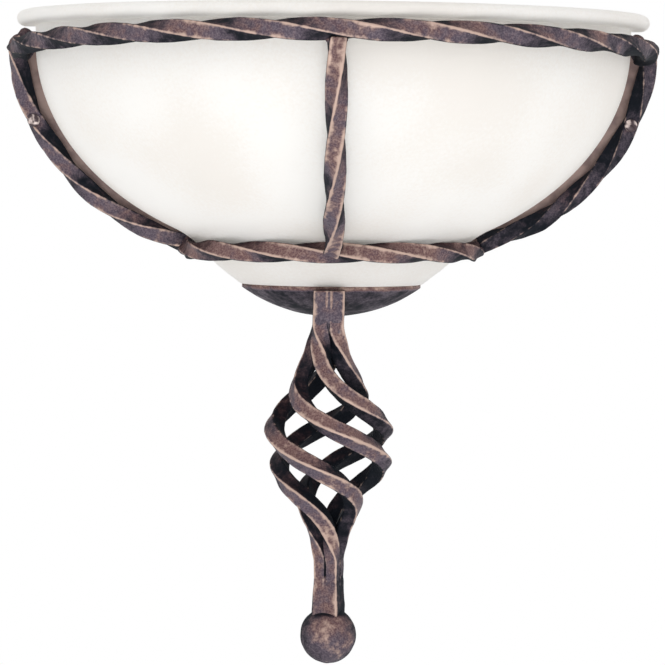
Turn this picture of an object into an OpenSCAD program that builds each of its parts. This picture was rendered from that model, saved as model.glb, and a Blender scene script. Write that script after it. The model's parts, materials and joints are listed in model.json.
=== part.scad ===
// Uplighter wall light: a cage of twisted square bars holds a half bowl of opal glass,
// and a four-strand twisted basket with a ball hangs from a dish below it.
// The wall is the plane y = 0 and the light stands out along -y, with +z up.
// The origin is on the wall, on the centre line, at the height of the two side screws.

/* [Bars] */
// Side of the square bar that the cage is made of
bar = 8; // [7:0.5:10]
// Cut that rubs off the bar's corners
bar_chamfer = 0.9; // [0.4:0.1:1.6]
// Length of bar in which a ring makes one full turn
ring_pitch = 146; // [110:2:200]
// Length of bar in which the centre rib makes one full turn
rib_pitch = 166; // [110:2:220]
// Length of bar in which a side rib makes one full turn, the other way
side_pitch = 132; // [100:2:200]
// Depth to which welded bars run into each other
weld = 0.5; // [0.2:0.1:1]

/* [Cage] */
// Radius of the top ring, at the middle of its bar
ring_r = 172; // [160:1:190]
// Depth of the ribs' curve below the top ring
rib_depth = 119; // [112:1:126]
// Height above the top ring at which the ribs stand upright
rib_shoulder = 4; // [1:0.5:5]
// Height of the side ribs' ends above the top ring
rib_top = 9.5; // [8:0.5:12]
// Height of the lower ring above the lowest point of the ribs' curve
lower_up = 13.5; // [12:0.5:18]
// Drop from the top ring to the side screws
screw_drop = 36.5; // [32:0.5:42]
// Distance from the wall to the middle of the side ribs
standoff = 16; // [15:0.5:20]
// Thickness of the back frame's plate
frame_t = 3; // [2:0.5:3.5]
// Width of the back frame inwards from the middle of the side ribs
frame_w = 21; // [16:1:24]

/* [Glass] */
// Wall of the glass bowl
glass_t = 4; // [3:0.5:5]
// Room between the top ring's bar and the glass
glass_gap = 6.5; // [5:0.5:8]
// Reach of the lip outwards from the neck
lip_reach = 9.8; // [9:0.2:13]
// Height of the lip
lip_h = 7.6; // [7:0.2:10]
// Angle at which the lip rises towards the wall
lip_lean = 2.8; // [0:0.1:3]
// Clearance under the loose glass
glass_seat = 0.3; // [0.2:0.1:0.6]

/* [Dish] */
// Radius of the dish
dish_r = 48.9; // [44:0.5:54]
// Drop from the lowest point of the ribs' curve to the dish's rim
dish_below = 5.3; // [4:0.1:8]
// Depth of the dish
dish_depth = 17.5; // [12:0.5:20]
// Height of the dish's upright rim
dish_rim = 1.6; // [1:0.2:4]
// Thickness of the dish's sheet
dish_t = 2; // [1.2:0.2:2.6]

/* [Basket] */
// Side of the square strands
strand = 8.2; // [7:0.2:9]
// Cut that rubs off the strands' corners
strand_chamfer = 0.6; // [0.3:0.1:1.2]
// Distance of the basket's axis behind the dish's front edge
stem_in = 0.9; // [0:0.1:3]
// Distance of the basket's axis to the left of the light's middle
stem_left = 1.5; // [0:0.5:3]
// Slope at which the basket hangs to the right
hang = 0.007; // [0:0.001:0.01]
// Drop from the dish's rim to the middle of the basket
basket_below = 82.1; // [76:0.1:90]
// Height in which the strands turn
basket_h = 125; // [110:1:132]
// Radius of the basket, at the middle of a strand
basket_r = 30.1; // [24:0.5:36]
// Angle through which the strands turn
basket_turn = 341; // [270:1:380]
// Fullness of the swelling, less is rounder
basket_full = 1.32; // [1:0.02:1.8]
// Side of the forged neck
neck = 13; // [11:0.5:15]
// Length in which the strands run straight above the neck
straight = 11.3; // [6:0.1:16]
// Height of the forged neck down to the top of the ball
neck_h = 13.6; // [10:0.1:18]
// Diameter of the ball
ball_d = 29.4; // [24:0.2:36]

/* [Side screws] */
// Diameter of the screws' shank
screw_d = 4; // [3:0.5:4.5]
// Diameter of the screws' head
head_d = 6.8; // [6:0.2:7.6]
// Height of the screws' head
head_h = 2.2; // [1.6:0.1:2.8]
// Clearance round the shank in its nut
screw_fit = 0.03; // [0.02:0.01:0.08]

/* [Wall bracket] */
// Thickness of the crossbar's sheet
sheet = 2; // [1.5:0.25:2.5]
// Height of the crossbar's strap
strap_h = 20; // [16:1:26]
// Width of the crossbar's middle plate
plate_w = 120; // [112:2:140]
// Height of the crossbar's middle plate
plate_h = 64; // [60:2:76]
// Distance between the wall slots
slot_spacing = 80; // [76:1:86]
// Width of a wall slot
slot_w = 5.2; // [4:0.1:6]
// Length of a wall slot
slot_l = 12; // [8:0.5:16]
// Bore of the cable grommet
cable_d = 9; // [6:0.5:10]

/* [Lamp] */
// Distance from the wall to the lamp's axis
lamp_out = 56; // [52:1:60]
// Drop from the top ring to the shelf under the lampholder
shelf_drop = 88; // [84:1:90]
// Width of the lamp arm
arm_w = 30; // [26:1:34]
// Thickness of the lamp arm
arm_t = 2.5; // [2:0.25:3]
// Inside diameter of the screw shell
shell_d = 26.4; // [26:0.1:27]
// Clearance round the lamp's cap
cap_fit = 0.08; // [0.03:0.01:0.1]
// Diameter of the lamp's globe
globe_d = 45; // [40:1:48]
// Diameter of an insulated lead
lead_d = 2.2; // [1.6:0.1:2.6]

/* [Hidden] */

// Colours
iron = [0.27, 0.22, 0.22];
worn_iron = [0.42, 0.34, 0.32];
opal = [0.95, 0.94, 0.92];
zinc = [0.72, 0.73, 0.75];
brass = [0.80, 0.66, 0.36];
black_resin = [0.12, 0.12, 0.13];
white_resin = [0.90, 0.90, 0.87];

// Step along a swept bar, and the number of straight facets in a quarter of a revolved curve
step = 4.4;
quarter = 16;

// Heights of the main features
ring_z = screw_drop;
shoulder_z = ring_z + rib_shoulder;
lower_z = ring_z - rib_depth + lower_up;
dish_z = ring_z - rib_depth - dish_below;
basket_z = dish_z - basket_below;
neck_top = basket_z - basket_h / 2 - straight;
ball_z = neck_top - neck_h - ball_d / 2;
shelf_z = ring_z - shelf_drop;

// Reach of a bar's corner from its middle
bar_reach = norm([bar / 2, bar / 2 - bar_chamfer]);
rib_height = rib_depth + rib_shoulder;
// Radius of the ribs' curve at a height
function rib_r(z) = ring_r * sqrt(1 - pow((shoulder_z - z) / rib_height, 2));
lower_r = rib_r(lower_z);
screw_x = rib_r(0);

// Depths from the wall, positive towards the front
seat = 0.15;
frame_front = standoff - bar_reach + seat;
frame_back = frame_front - frame_t;
nut_flange = 0.8;
nut_front = frame_back - seat;
strap_front = nut_front - nut_flange;
screw_seat = standoff + bar / 2 - 0.5;
glass_back = standoff + bar_reach + 0.9;
basket_y = -standoff - (dish_r - stem_in);
lamp_y = -lamp_out;

// Twisted bars

function unit(v) = v / norm(v);
function last(v) = len(v) - 1;
function along(p, i) = unit(p[min(i + 1, last(p))] - p[max(i - 1, 0)]);
// Length of a path up to each of its points
function lengths(p) = [
    for (i = 0, s = 0; i < len(p); s = s + norm(p[min(i + 1, last(p))] - p[i]), i = i + 1) s
];
// Corners of a square with its corners cut, turned by an angle
function square_section(side, cut, turn) = let (h = side / 2, c = h - cut)
    [for (q = [[h, c], [c, h], [-c, h], [-h, c], [-h, -c], [-c, -h], [c, -h], [h, -c]])
        [q[0] * cos(turn) - q[1] * sin(turn), q[0] * sin(turn) + q[1] * cos(turn)]];
function round_section(r, sides) =
    [for (i = [0 : sides - 1]) let (a = 360 * i / sides) r * [cos(a), sin(a)]];
// A section set square to a path at one of its points, with its first axis towards a given side
function placed(section, p, t, towards) =
    let (n = unit(towards - t * (towards * t)), b = cross(t, n))
    [for (q = section) p + n * q[0] + b * q[1]];

module sweep(rings) {
    m = len(rings[0]);
    k = len(rings);
    sides = [for (i = [0 : k - 2]) for (j = [0 : m - 1])
        let (a = i * m + j, b = i * m + (j + 1) % m)
        each [[a, a + m, b], [b, a + m, b + m]]];
    start = [for (j = [0 : m - 1]) j];
    end = [for (j = [m - 1 : -1 : 0]) (k - 1) * m + j];
    polyhedron([for (r = rings) each r], concat([start], sides, [end]));
}

// A square bar along a path, with a side direction, a width and a turn at each point
module bar_along(path, towards, widths, cut, turns) {
    sweep([for (i = [0 : last(path)])
        placed(square_section(widths[i], cut * widths[i] / widths[0], turns[i]),
            path[i], along(path, i), towards[i])]);
}

module tube_along(path, r, towards = [1, 0, 0], sides = 8) {
    sweep([for (i = [0 : last(path)]) placed(round_section(r, sides), path[i], along(path, i), towards)]);
}

// A smooth curve through hand-set points
function bend(p, i, t) =
    let (a = p[max(i - 1, 0)], b = p[i], c = p[i + 1], d = p[min(i + 2, last(p))])
    b + t * (c - a) / 2 + t * t * (a - 2.5 * b + 2 * c - d / 2) + t * t * t * (3 * b - a - 3 * c + d) / 2;
function smooth(p, n = 4) = [
    for (i = [0 : last(p) - 1]) for (k = [0 : n - 1]) bend(p, i, k / n),
    p[last(p)]
];

// Rings of the cage

// Length in which the rings' ends are hammered slimmer, and by what share
tip_l = 14;
tip = 0.2;
// Length in which the top ring's ends bend inwards, and by how much
bend_l = 40;
bend_in = 2.2;

// Half circle in front of the side ribs, from angle a0 at the right to its mirror at the left;
// a face of the bar lies flat at flat_angle
module ring_bar(r, z, a0, flat_angle, bend_in) {
    n = ceil((180 - 2 * a0) * PI / 180 * r / step);
    angles = [for (i = [0 : n]) a0 + (180 - 2 * a0) * i / n];
    to_end = [for (a = angles) (90 - a0 - abs(a - 90)) * PI / 180 * r];
    widths = [for (d = to_end) bar * (1 - tip * pow(max(1 - d / tip_l, 0), 2))];
    path = [for (i = [0 : n]) let (a = angles[i], k = r - bend_in * pow(max(1 - to_end[i] / bend_l, 0), 2))
        [k * cos(a), -standoff - k * sin(a), z]];
    out = [for (a = angles) [cos(a), -sin(a), 0]];
    bar_along(path, out, widths, bar_chamfer * widths[0] / bar,
        [for (a = angles) (a - flat_angle) * PI / 180 * r * 360 / ring_pitch]);
}

module top_ring() {
    // The ends butt on the fronts of the side ribs
    color(iron) ring_bar(ring_r, ring_z, asin((bar / 2 - weld / 4) / ring_r), 88.1, bend_in);
}

module lower_ring() {
    // The ends pass beside the side ribs' ends and meet the back frame
    color(iron) ring_bar(lower_r, lower_z, -asin((standoff - frame_front) / lower_r), 78, 0);
}

// Ribs of the cage, drawn in their own plane as radius and height

rib_bend = 22;
// Drop from the top ring to the place where a ridge of each rib faces the front
left_ridge = 23.6;
right_ridge = 16.7;
centre_ridge = 30.4;
function rib_curve(top_z, end_r) =
    let (e0 = asin(max(shoulder_z - top_z, 0) / rib_height), e1 = acos(end_r / ring_r),
        top_turn = asin(max(top_z - shoulder_z, 0) / rib_bend),
        n = ceil((e1 - e0) * PI / 180 * (ring_r + rib_height) / 2 / step))
    concat(
        [for (k = [2 : -1 : 1]) let (g = top_turn * k / 2) if (g > 0)
            [ring_r - rib_bend * (1 - cos(g)), shoulder_z + rib_bend * sin(g)]],
        [for (i = [0 : n]) let (e = e0 + (e1 - e0) * i / n)
            [ring_r * cos(e), shoulder_z - rib_height * sin(e)]]);

// A ridge of the bar faces the front at ridge_z; hand is 1 for a right-handed twist
function rib_turns(curve, pitch, hand, ridge_z) =
    let (s = lengths(curve), at_ridge = lookup(-ridge_z, [for (i = [0 : last(curve)]) [-curve[i][1], s[i]]]))
    [for (v = s) 45 + hand * 360 * (v - at_ridge) / pitch];

module side_rib(side, ridge_z) {
    curve = rib_curve(ring_z + rib_top, lower_r + bar / 2 - weld - bar * tip / 4);
    difference() {
        bar_along([for (q = curve) [side * q[0], -standoff, q[1]]], [for (q = curve) [side, 0, 0]],
            [for (q = curve) bar], bar_chamfer, rib_turns(curve, side_pitch, -1, ridge_z));
        translate([side * screw_x, 0, 0]) rotate([90, 0, 0]) {
            cylinder(h = standoff + bar, d = screw_d + 0.3, $fn = 32);
            translate([0, 0, screw_seat]) cylinder(h = bar, d = head_d + 0.8, $fn = 32);
        }
        // The outer corner of the rib's end is ground round
        translate([side * (ring_r - bar / 2), 0, ring_z + rib_top - bar]) rotate([90, 0, 0]) difference() {
            translate([side > 0 ? 0 : -2 * bar, 0, 0]) cube([2 * bar, 2 * bar, standoff + bar]);
            cylinder(h = standoff + bar, r = bar, $fn = 48);
        }
    }
}

module left_rib() {
    color(iron) side_rib(-1, ring_z - left_ridge);
}

module right_rib() {
    color(iron) side_rib(1, ring_z - right_ridge);
}

module centre_rib() {
    curve = rib_curve(ring_z - bar / 2 + weld, lower_r + bar / 2 - weld);
    color(iron) bar_along([for (q = curve) [0, -standoff - q[0], q[1]]], [for (q = curve) [0, -1, 0]],
        [for (q = curve) bar], bar_chamfer, rib_turns(curve, rib_pitch, 1, ring_z - centre_ridge));
}

// Back frame: a flat plate behind the side ribs, open in the middle

frame_out = 2;
tab_edge = 4;
tab_flare = 14.7;
// Points of a half ellipse below a height, from right to left
function half_ellipse(a, b, top) = let (e0 = asin((shoulder_z - top) / b), n = 3 * quarter)
    [for (i = [0 : n]) let (e = e0 + (180 - 2 * e0) * i / n) [a * cos(e), shoulder_z - b * sin(e)]];

module flat_on_back(depth, t) {
    translate([0, -depth, 0]) rotate([90, 0, 0]) linear_extrude(t) children();
}

module back_frame() {
    frame_top = ring_z + bar;
    inner_w = ring_r - frame_w;
    // The plate is narrower at the bottom, where the web joins its sides
    inner_h = rib_height - frame_w * 0.72;
    web_z = lower_z + 2;
    tab_r = dish_r - tab_edge;
    tab_top_r = tab_r + tab_flare;
    tab_foot_r = tab_r * 0.62;
    tab_foot_z = dish_z - dish_depth * 0.72;
    color(worn_iron) difference() {
        union() {
            flat_on_back(frame_back, frame_t) difference() {
                polygon(half_ellipse(ring_r + frame_out, rib_height + frame_out, frame_top));
                translate([-ring_r, lower_z - 1 - rib_height]) square([2 * ring_r, rib_height]);
            }
            // Tab that runs down behind the glass to the dish
            flat_on_back(frame_back, frame_t) polygon([
                [tab_top_r, lower_z], [tab_r, stem_top], [tab_foot_r, tab_foot_z],
                [-tab_foot_r, tab_foot_z], [-tab_r, stem_top], [-tab_top_r, lower_z]]);
        }
        flat_on_back(frame_back - 1, frame_t + 2) intersection() {
            polygon(concat([[inner_w, frame_top + 1]], half_ellipse(inner_w, inner_h, shoulder_z),
                [[-inner_w, frame_top + 1]]));
            translate([-ring_r, web_z]) square([2 * ring_r, rib_height + bar]);
        }
        for (side = [-1, 1]) translate([side * screw_x, -frame_back + 1, 0]) rotate([90, 0, 0])
            cylinder(h = frame_t + 2, d = screw_d + 0.5, $fn = 32);
    }
}

// Dish

function arc(x, z, r, a0, a1, n) =
    [for (i = [0 : n]) let (a = a0 + (a1 - a0) * i / n) [x + r * cos(a), z + r * sin(a)]];
// Outline of a cap with an upright rim, from the rim's top down to the middle
function cap_outline(r, top, rim, depth) =
    let (h = depth - rim, big = (r * r + h * h) / (2 * h), a = asin(r / big))
    concat([[r, top]], arc(0, top - depth + big, big, a - 90, -90, quarter));

dish_outer = cap_outline(dish_r, dish_z, dish_rim, dish_depth);
dish_inner = cap_outline(dish_r - dish_t, dish_z, dish_rim, dish_depth - dish_t);

module about_bowl_axis() {
    translate([0, -standoff, 0]) rotate_extrude($fn = 96) children();
}

module dish_filled() {
    about_bowl_axis() polygon(concat(dish_outer, [[0, dish_z]]));
}

module bottom_dish() {
    color(iron) difference() {
        about_bowl_axis() polygon(concat(dish_outer, [for (i = [last(dish_inner) : -1 : 0]) dish_inner[i]]));
        translate([-dish_r - 1, -frame_front, dish_z - dish_depth - 1])
            cube([2 * dish_r + 2, dish_r + standoff, dish_depth + 2]);
    }
}

// Basket: four strands that are one square stem at the top, swell apart as they turn
// to the left, and are forged down into the neck

// Angle by which each hammered strand strays from its even quarter at mid height
stray = [-8, 2.5, 8, -2.5];
// Share of the turn that goes steadily down the basket, the rest gathers in the middle
steady = 0.35;
taper_from = 0.5;
// Shares of the half height between which each strand rolls about its own middle, so that it
// shows a ridge at mid height, a flat face above and below it, and a ridge again at its ends
roll_from = 0.3;
roll_to = 0.9;
stem_top = dish_z - dish_rim;

function taper(u) = let (k = max(u - taper_from, 0) / (1 - taper_from)) k * k * (3 - 2 * k);
function strand_side(u) = strand + (neck / 2 - strand) * taper(u);
function strand_angle(u, i) = 45 + 90 * i + stray[i] * swell(u)
    + basket_turn / 2 * (1 + (1 - steady) * sin(90 * u) + steady * u);
function swell(u) = pow((1 + cos(180 * u)) / 2, basket_full);
function strand_roll(u) = let (k = min(max((abs(u) - roll_from) / (roll_to - roll_from), 0), 1))
    135 + 90 * sign(u) * k * k * (3 - 2 * k);
function strand_r(u) = strand_side(u) / sqrt(2) + 0.02 + (basket_r - strand / sqrt(2)) * swell(u);
// The axis hangs aslant down to the strands' last straight length, and is upright from there
function basket_x(z) = hang * (stem_top - max(z, neck_top + straight)) - stem_left;
function around_basket(r, a, z) = [basket_x(z) + r * sin(a), basket_y - r * cos(a), z];

module strand_bar(i) {
    n = 2 * ceil(basket_h / step) + 6;
    us = [for (k = [0 : n]) -1 + 2 * k / n];
    all_u = concat([-1], us, [1]);
    heights = concat([stem_top], [for (u = us) basket_z - u * basket_h / 2], [neck_top]);
    angles = [for (u = all_u) strand_angle(u, i)];
    path = [for (k = [0 : last(all_u)]) around_basket(strand_r(all_u[k]), angles[k], heights[k])];
    difference() {
        bar_along(path, [for (a = angles) [sin(a), -cos(a), 0]], [for (u = all_u) strand_side(u)],
            strand_chamfer, [for (u = all_u) strand_roll(u)]);
        dish_filled();
    }
}

module strand_1() {
    color(iron) strand_bar(0);
}

module strand_2() {
    color(iron) strand_bar(1);
}

module strand_3() {
    color(iron) strand_bar(2);
}

module strand_4() {
    color(iron) strand_bar(3);
}

module neck_block() {
    a = strand_angle(1, 0);
    flare = 1.2;
    heights = [neck_top, neck_top - neck_h * 0.55, neck_top - neck_h, neck_top - neck_h - ball_d / 4];
    path = [for (z = heights) [basket_x(z), basket_y, z]];
    color(iron) difference() {
        bar_along(path, [for (z = heights) [sin(a), -cos(a), 0]], [neck, neck, neck * flare, neck * flare],
            2 * strand_chamfer, [for (z = heights) 45]);
        translate([basket_x(ball_z), basket_y, ball_z]) sphere(d = ball_d, $fn = 64);
    }
}

module ball_finial() {
    color(iron) translate([basket_x(ball_z), basket_y, ball_z]) sphere(d = ball_d, $fn = 64);
}

// Side screws, with a slotted round head on a spot face in each side rib

module slotted_screw(slot_angle, shank_l) {
    slot_w = 1.2;
    slot_h = head_h * 0.5;
    difference() {
        rotate_extrude($fn = 48) polygon(concat(
            [[0, -shank_l], [screw_d / 2, -shank_l], [screw_d / 2, 0], [head_d / 2, 0]],
            [for (a = [0 : 15 : 90]) [head_d / 2 * cos(a), head_h * (0.35 + 0.65 * sin(a))]]));
        rotate([0, 0, slot_angle]) translate([-head_d, -slot_w / 2, head_h - slot_h])
            cube([2 * head_d, slot_w, head_h]);
    }
}

module side_screws() {
    color(zinc) for (side = [-1, 1]) translate([side * screw_x, -screw_seat, 0]) rotate([90, 0, 0])
        slotted_screw(side < 0 ? 90 : -40, screw_seat - 1);
}

// Glass bowl: lip, neck, elliptical belly, upright foot cone and flat foot

neck_r = ring_r - bar_reach - glass_gap;
lip_gap = 0.7;
lip_z = ring_z + bar_reach + lip_gap;
foot_over = 0.9;
foot_round = 1.5;
belly_z = shoulder_z + 0.5;
belly_h = rib_height - bar_reach - 1;
glass_foot = [dish_r + foot_over, dish_z + glass_seat];

// The cone over the foot steepens at a soft knee, these shares of the way to the lower ring,
// and from there it passes inside the ring's bar
knee_share = [0.45, 0.53];
cone_gap = 0.5;
knee = [glass_foot[0] + knee_share[0] * (lower_r - glass_foot[0]),
    glass_foot[1] + knee_share[1] * (lower_z - glass_foot[1])];
knee_to_ring = [lower_r, lower_z] - knee;
low_slope = atan2(knee[1] - glass_foot[1], knee[0] - glass_foot[0]);
high_slope = atan2(knee_to_ring[1], knee_to_ring[0]) + asin((bar_reach + cone_gap) / norm(knee_to_ring));
knee_blend = 5;
belly_blend = 8.5;

function heading(slope) = [cos(slope), sin(slope)];
function rounded(from, corner, to) = [for (t = [0 : 0.2 : 1])
    (1 - t) * (1 - t) * from + 2 * t * (1 - t) * corner + t * t * to];
// Outline of the bowl at a depth inside its outer face, from the neck down to the middle
function bowl_outline(inset) =
    let (a = neck_r - inset, b = belly_h - inset, mid = (low_slope + high_slope) / 2,
        k = knee + inset / cos((high_slope - low_slope) / 2) * heading(mid + 90),
        low = glass_foot + inset * [-tan(low_slope / 2), 1],
        wide = a * sin(high_slope), deep = b * cos(high_slope),
        e = atan2(deep, wide)
            + acos((k[0] * sin(high_slope) + (belly_z - k[1]) * cos(high_slope)) / norm([wide, deep])),
        e1 = e - 4,
        corner = [a * cos(e), belly_z - b * sin(e)])
    concat(
        [for (i = [0 : 2 * quarter - 1]) let (g = e1 * i / (2 * quarter)) [a * cos(g), belly_z - b * sin(g)]],
        rounded([a * cos(e1), belly_z - b * sin(e1)], corner, corner - belly_blend * heading(high_slope)),
        rounded(k + knee_blend * heading(high_slope), k, k - knee_blend * heading(low_slope)),
        arc(low[0] - foot_round * tan(low_slope / 2), low[1] + foot_round, foot_round,
            low_slope - 90, -90, 4),
        [[0, low[1]]]);

module half_revolved() {
    translate([0, -standoff, 0]) rotate([0, 0, 180]) rotate_extrude(angle = 180, $fn = 128) children();
}

// Turns the lip about the front of the top ring, so that it rises towards the wall
module leaning() {
    translate([0, -standoff - ring_r, lip_z]) rotate([lip_lean, 0, 0])
        translate([0, standoff + ring_r, -lip_z]) children();
}

module glass_bowl() {
    outer = bowl_outline(0);
    inner = bowl_outline(glass_t);
    roll = lip_h / 2;
    inside = neck_r - glass_t - 0.3;
    neck_end = lip_z + lip_h + ring_r * tan(lip_lean);
    color(opal) difference() {
        union() {
            difference() {
                half_revolved() polygon(concat([for (i = [last(outer) : -1 : 0]) outer[i]],
                    [[neck_r, neck_end], [neck_r - glass_t, neck_end]], inner));
                // The neck ends inside the lip
                leaning() translate([-ring_r, -standoff - 2 * ring_r, lip_z + roll])
                    cube([2 * ring_r, 2 * (standoff + ring_r), ring_r]);
            }
            leaning() half_revolved() polygon(concat(
                [[inside, lip_z + 0.8], [inside + 0.8, lip_z]],
                arc(neck_r + lip_reach - roll, lip_z + roll, roll, -90, 90, quarter),
                arc(inside + 2, lip_z + lip_h - 2, 2, 90, 180, 4)));
        }
        translate([-ring_r - lip_reach, -glass_back, glass_foot[1] - 1])
            cube([2 * (ring_r + lip_reach), standoff, 2 * (ring_z - dish_z)]);
    }
}

// Crossbar: a pressed strap with a wider plate on the wall and joggled ends for the rivet nuts

slot_z = 0;
cable_x = -30;
cable_z = -20;
cable_wall = 1.5;
earth_x = 30;
earth_z = -20;
arm_screw_x = 9;
arm_screw_z = -22;
nut_d = screw_d + 2;

module through_plate(x, z, d) {
    translate([x, 1, z]) rotate([90, 0, 0]) cylinder(h = 30, d = d, $fn = 48);
}

module crossbar() {
    bend_x = plate_w / 2 + 30;
    run = 2 * (strap_front - sheet);
    end_d = 13;
    end_x = screw_x + 4 - end_d / 2;
    color(zinc) difference() {
        union() {
            intersection() {
                // Strap seen from above, with its two joggles
                translate([0, 0, -strap_h / 2]) linear_extrude(strap_h) for (side = [1, -1]) scale([side, 1])
                    polygon([[0, 0], [bend_x, 0], [bend_x + run, sheet - strap_front],
                        [screw_x + end_d, sheet - strap_front], [screw_x + end_d, -strap_front],
                        [bend_x + run - 1, -strap_front], [bend_x - 1, -sheet], [0, -sheet]]);
                // Strap seen from the front
                union() {
                    translate([-end_x + 10, -2 * standoff, -strap_h / 2])
                        cube([2 * end_x - 20, 3 * standoff, strap_h]);
                    translate([-end_x, -2 * standoff, -end_d / 2]) cube([2 * end_x, 3 * standoff, end_d]);
                    for (side = [-1, 1]) translate([side * end_x, standoff, 0]) rotate([90, 0, 0])
                        cylinder(h = 3 * standoff, d = end_d, $fn = 48);
                }
            }
            plate_corner = 6;
            translate([-plate_w / 2, -sheet, -plate_h / 2 + plate_corner])
                cube([plate_w, sheet, plate_h - 2 * plate_corner]);
            translate([-plate_w / 2 + plate_corner, -sheet, -plate_h / 2])
                cube([plate_w - 2 * plate_corner, sheet, plate_h]);
            for (x = [-1, 1], z = [-1, 1])
                translate([x * (plate_w / 2 - plate_corner), 0, z * (plate_h / 2 - plate_corner)])
                    rotate([90, 0, 0]) cylinder(h = sheet, r = plate_corner, $fn = 48);
        }
        for (side = [-1, 1]) {
            for (end = [-1, 1])
                through_plate(side * slot_spacing / 2 + end * (slot_l - slot_w) / 2, slot_z, slot_w);
            translate([side * slot_spacing / 2 - (slot_l - slot_w) / 2, -standoff, slot_z - slot_w / 2])
                cube([slot_l - slot_w, 2 * standoff, slot_w]);
            through_plate(side * screw_x, 0, nut_d);
            through_plate(side * arm_screw_x, arm_screw_z, screw_d);
        }
        through_plate(cable_x, cable_z, cable_d + 2 * cable_wall);
        through_plate(earth_x, earth_z, screw_d);
    }
}

module rivet_nuts() {
    bulge = 0.9;
    back = 0.8;
    color(zinc) for (side = [-1, 1]) translate([side * screw_x, 0, 0]) rotate([90, 0, 0])
        rotate_extrude($fn = 48) polygon([
            [screw_d / 2 + screw_fit, back], [nut_d / 2, back], [nut_d / 2, strap_front - sheet - 1.4],
            [nut_d / 2 + bulge, strap_front - sheet - 0.8], [nut_d / 2 + bulge, strap_front - sheet],
            [nut_d / 2, strap_front - sheet], [nut_d / 2, strap_front], [nut_d / 2 + 1, strap_front],
            [nut_d / 2 + 1, nut_front], [screw_d / 2 + screw_fit, nut_front]]);
}

module cable_grommet() {
    flange = 2;
    color(black_resin) translate([cable_x, 0, cable_z]) rotate([90, 0, 0]) rotate_extrude($fn = 48)
        polygon([[cable_d / 2, 0], [cable_d / 2 + cable_wall, 0], [cable_d / 2 + cable_wall, sheet],
            [cable_d / 2 + 2 * cable_wall, sheet], [cable_d / 2 + 2 * cable_wall, sheet + flange],
            [cable_d / 2, sheet + flange]]);
}

// Terminal block on the plate, above the lamp arm

pole_pitch = 9;
block_h = 22;
block_d = 14;
block_z = 4;
tube_d = 5.2;
tube_y = -sheet - 6.5;
clamp_d = 3;
clamp_at = [0.28, 0.72];

module each_pole() {
    for (i = [-1 : 1]) translate([i * pole_pitch, tube_y, block_z]) children();
}

module each_clamp() {
    each_pole() for (k = clamp_at) translate([0, 0, k * block_h]) rotate([90, 0, 0]) children();
}

module terminal_block() {
    color(white_resin) difference() {
        translate([-1.5 * pole_pitch, -sheet - block_d, block_z]) cube([3 * pole_pitch, block_d, block_h]);
        each_pole() translate([0, 0, -1]) cylinder(h = block_h + 2, d = tube_d, $fn = 32);
        each_clamp() cylinder(h = block_d, d = clamp_d + 1, $fn = 32);
        // Saw cuts between the poles
        for (x = [-0.5, 0.5]) translate([x * pole_pitch - 0.6, -sheet - block_d - 1, block_z - 1])
            cube([1.2, block_d * 0.4 + 1, block_h + 2]);
    }
}

module terminal_tubes() {
    color(brass) difference() {
        each_pole() translate([0, 0, 1]) difference() {
            cylinder(h = block_h - 2, d = tube_d - 0.1, $fn = 32);
            translate([0, 0, -1]) cylinder(h = block_h, d = lead_d + 0.8, $fn = 32);
        }
        each_clamp() cylinder(h = tube_d, d = clamp_d, $fn = 32);
    }
}

module terminal_screws() {
    top = block_d - 6.5 - 1;
    color(brass) each_clamp() difference() {
        translate([0, 0, lead_d / 2]) cylinder(h = top - lead_d / 2, d = clamp_d - 0.1, $fn = 32);
        translate([-clamp_d, -0.3, top - 0.8]) cube([2 * clamp_d, 0.6, 2]);
    }
}

// Screws with a pan head, into the crossbar's plate

module pan_screw(under_head) {
    difference() {
        union() {
            rotate([90, 0, 0]) cylinder(h = under_head, d = screw_d - 0.04, $fn = 32);
            translate([0, -under_head, 0]) rotate([90, 0, 0]) cylinder(h = 2.2, d = 7, $fn = 32);
        }
        for (a = [0, 90]) rotate([0, a, 0]) translate([-2, -under_head - 3, -0.5]) cube([4, 2, 1]);
    }
}

module arm_screws() {
    color(zinc) for (side = [-1, 1]) translate([side * arm_screw_x, 0, arm_screw_z])
        pan_screw(sheet + arm_t);
}

tag_t = 0.8;
tag_angle = 60;
module earth_tag() {
    color(brass) translate([earth_x, -sheet, earth_z]) rotate([90, 0, 0]) difference() {
        union() {
            cylinder(h = tag_t, d = 8, $fn = 32);
            rotate([0, 0, tag_angle]) translate([0, -1.6, 0]) cube([11, 3.2, tag_t]);
        }
        translate([0, 0, -1]) cylinder(h = tag_t + 2, d = screw_d + 0.2, $fn = 32);
    }
}

module earth_screw() {
    color(zinc) translate([earth_x, 0, earth_z]) pan_screw(sheet + tag_t);
}

// Lamp arm: a strip from the plate down and out into the bowl

wire_hole_y = -14;
wire_hole_d = 10;
arm_top = -12;
nipple_d = 10;
nipple_bore = 7.4;
nut_h = 3;

module lamp_arm() {
    inside = 2;
    outside = inside + arm_t;
    y0 = -sheet;
    y1 = y0 - arm_t;
    color(zinc) difference() {
        union() {
            // Side view, bent with a round corner
            translate([arm_w / 2, 0, 0]) rotate([0, -90, 0]) linear_extrude(arm_w) polygon(concat(
                [[arm_top, y0], [arm_top, y1]],
                arc(shelf_z + inside, y1 - inside, inside, 90, 180, 6),
                [[shelf_z, lamp_y], [shelf_z - arm_t, lamp_y]],
                arc(shelf_z + inside, y1 - inside, outside, 180, 90, 6)));
            translate([0, lamp_y, shelf_z - arm_t]) cylinder(h = arm_t, d = arm_w, $fn = 64);
        }
        translate([0, lamp_y, shelf_z - 10]) cylinder(h = 20, d = nipple_d + 0.1, $fn = 48);
        translate([0, wire_hole_y, shelf_z - 10]) cylinder(h = 11, d = wire_hole_d, $fn = 48);
        for (side = [-1, 1]) through_plate(side * arm_screw_x, arm_screw_z, screw_d + 0.3);
    }
}

module on_lamp_axis() {
    translate([0, lamp_y, shelf_z]) children();
}

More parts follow.
